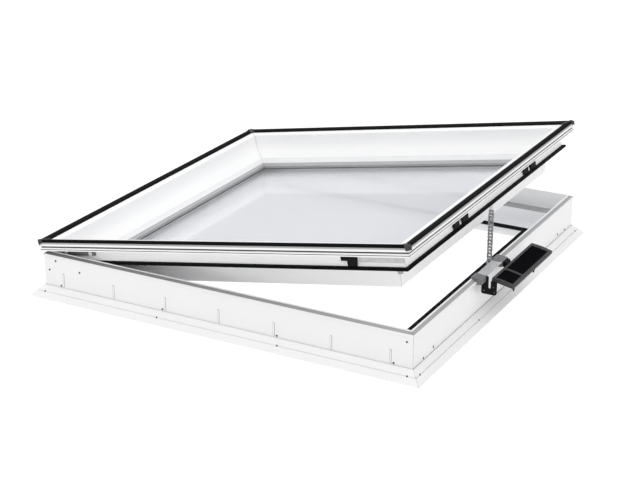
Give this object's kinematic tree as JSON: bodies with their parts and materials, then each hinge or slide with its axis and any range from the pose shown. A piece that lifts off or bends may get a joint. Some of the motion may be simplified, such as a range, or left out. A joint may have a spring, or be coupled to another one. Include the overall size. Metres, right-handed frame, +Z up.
{
  "type": "roof skylight",
  "caption": "Square flat-roof skylight: white plastic kerb with a hinged, double-glazed sash held open by a chain actuator, and a small solar panel on the rim.",
  "frame": {"origin": "middle of the kerb's fixing pattern, on the plane of the kerb's underside at the roof deck", "axes": "+Z up, +X from the hinge side to the opening side, +Y from the front to the back, so that the chain and solar panel are on +X"},
  "size_m": [1.5543, 1.48, 0.4469],
  "materials": {
    "white_pvc": "satin white extruded plastic",
    "black_rubber": "matt black rubber",
    "grey_rubber": "matt grey rubber",
    "charcoal_plastic": "charcoal moulded plastic",
    "cell_glass": "near-black cells under clear glass",
    "pane_glass": "clear glass",
    "bracket_metal": "mid grey painted aluminium",
    "plate_metal": "light grey aluminium",
    "black_metal": "black painted steel",
    "dark_steel": "dark grey coated steel",
    "board_green": "green circuit board",
    "dark_case": "dark moulded case",
    "grey_plastic": "grey moulded plastic",
    "spacer_metal": "mill aluminium",
    "zinc_steel": "zinc plated steel"
  },
  "bodies": {
    "kerb": {"kerb_rail_front": "white_pvc", "kerb_rail_back": "white_pvc", "kerb_rail_hinge": "white_pvc", "kerb_rail_opening": "white_pvc", "flange_front": "white_pvc", "flange_back": "white_pvc", "flange_hinge": "white_pvc", "flange_opening": "white_pvc", "frame_screws": "dark_steel", "seat_seal": "grey_rubber", "shaft_seal": "black_rubber", "hinge_bracket_front": "zinc_steel", "hinge_bracket_back": "zinc_steel", "hinge_pin_front": "zinc_steel", "hinge_pin_back": "zinc_steel", "actuator_housing": "dark_steel", "actuator_cover": "white_pvc", "gearmotor": "dark_case", "control_board": "board_green", "battery_pack": "dark_case", "chain": "zinc_steel", "saddle_near": "bracket_metal", "saddle_far": "bracket_metal", "rim_plate": "plate_metal", "panel_clamp": "black_metal", "panel_frame": "charcoal_plastic", "panel_cell_small": "cell_glass", "panel_cell_large": "cell_glass", "panel_back": "charcoal_plastic", "panel_pins": "black_rubber"},
    "sash": {"sash_rail_front": "white_pvc", "sash_rail_back": "white_pvc", "sash_rail_hinge": "white_pvc", "sash_rail_opening": "white_pvc", "bead_front": "white_pvc", "bead_back": "white_pvc", "bead_hinge": "white_pvc", "bead_opening": "white_pvc", "glass_outer": "pane_glass", "glass_inner": "pane_glass", "spacer_bar": "spacer_metal", "edge_seal": "black_rubber", "glazing_seal": "grey_rubber", "top_seal": "black_rubber", "corner_cap_fl": "charcoal_plastic", "corner_cap_fr": "charcoal_plastic", "corner_cap_bl": "charcoal_plastic", "corner_cap_br": "charcoal_plastic", "lower_seal": "black_rubber", "cover_clips": "dark_steel", "locating_pegs": "grey_plastic", "sash_screws": "dark_steel", "hinge_arm_front": "zinc_steel", "hinge_arm_back": "zinc_steel", "chain_bracket": "zinc_steel", "yoke_pin": "zinc_steel"},
    "yoke": {"chain_yoke": "zinc_steel"},
    "drive": {"output_shaft": "zinc_steel", "sprocket": "zinc_steel"}
  },
  "joints": [
    {"name": "sash_hinge", "type": "hinge", "parent": "kerb", "child": "sash", "pos_m": [-0.6695, 0, 0.159], "axis": [0, -1, 0], "range_deg": [-10, 0], "deforming": ["chain"]},
    {"name": "yoke_pivot", "type": "hinge", "parent": "sash", "child": "yoke", "pos_m": [0.655, 0, 0.34076], "axis": [0, -1, 0], "range_deg": [0, 10]},
    {"name": "drive_spin", "type": "hinge", "parent": "kerb", "child": "drive", "pos_m": [0.655, -0.01568, 0.066], "axis": [1, 0, 0], "range_deg": [-856, 0]}
  ],
  "couplings": [
    {"joint": "yoke_pivot", "follows": "sash_hinge", "ratio": -1},
    {"joint": "drive_spin", "follows": "sash_hinge", "ratio": 85.058}
  ]
}
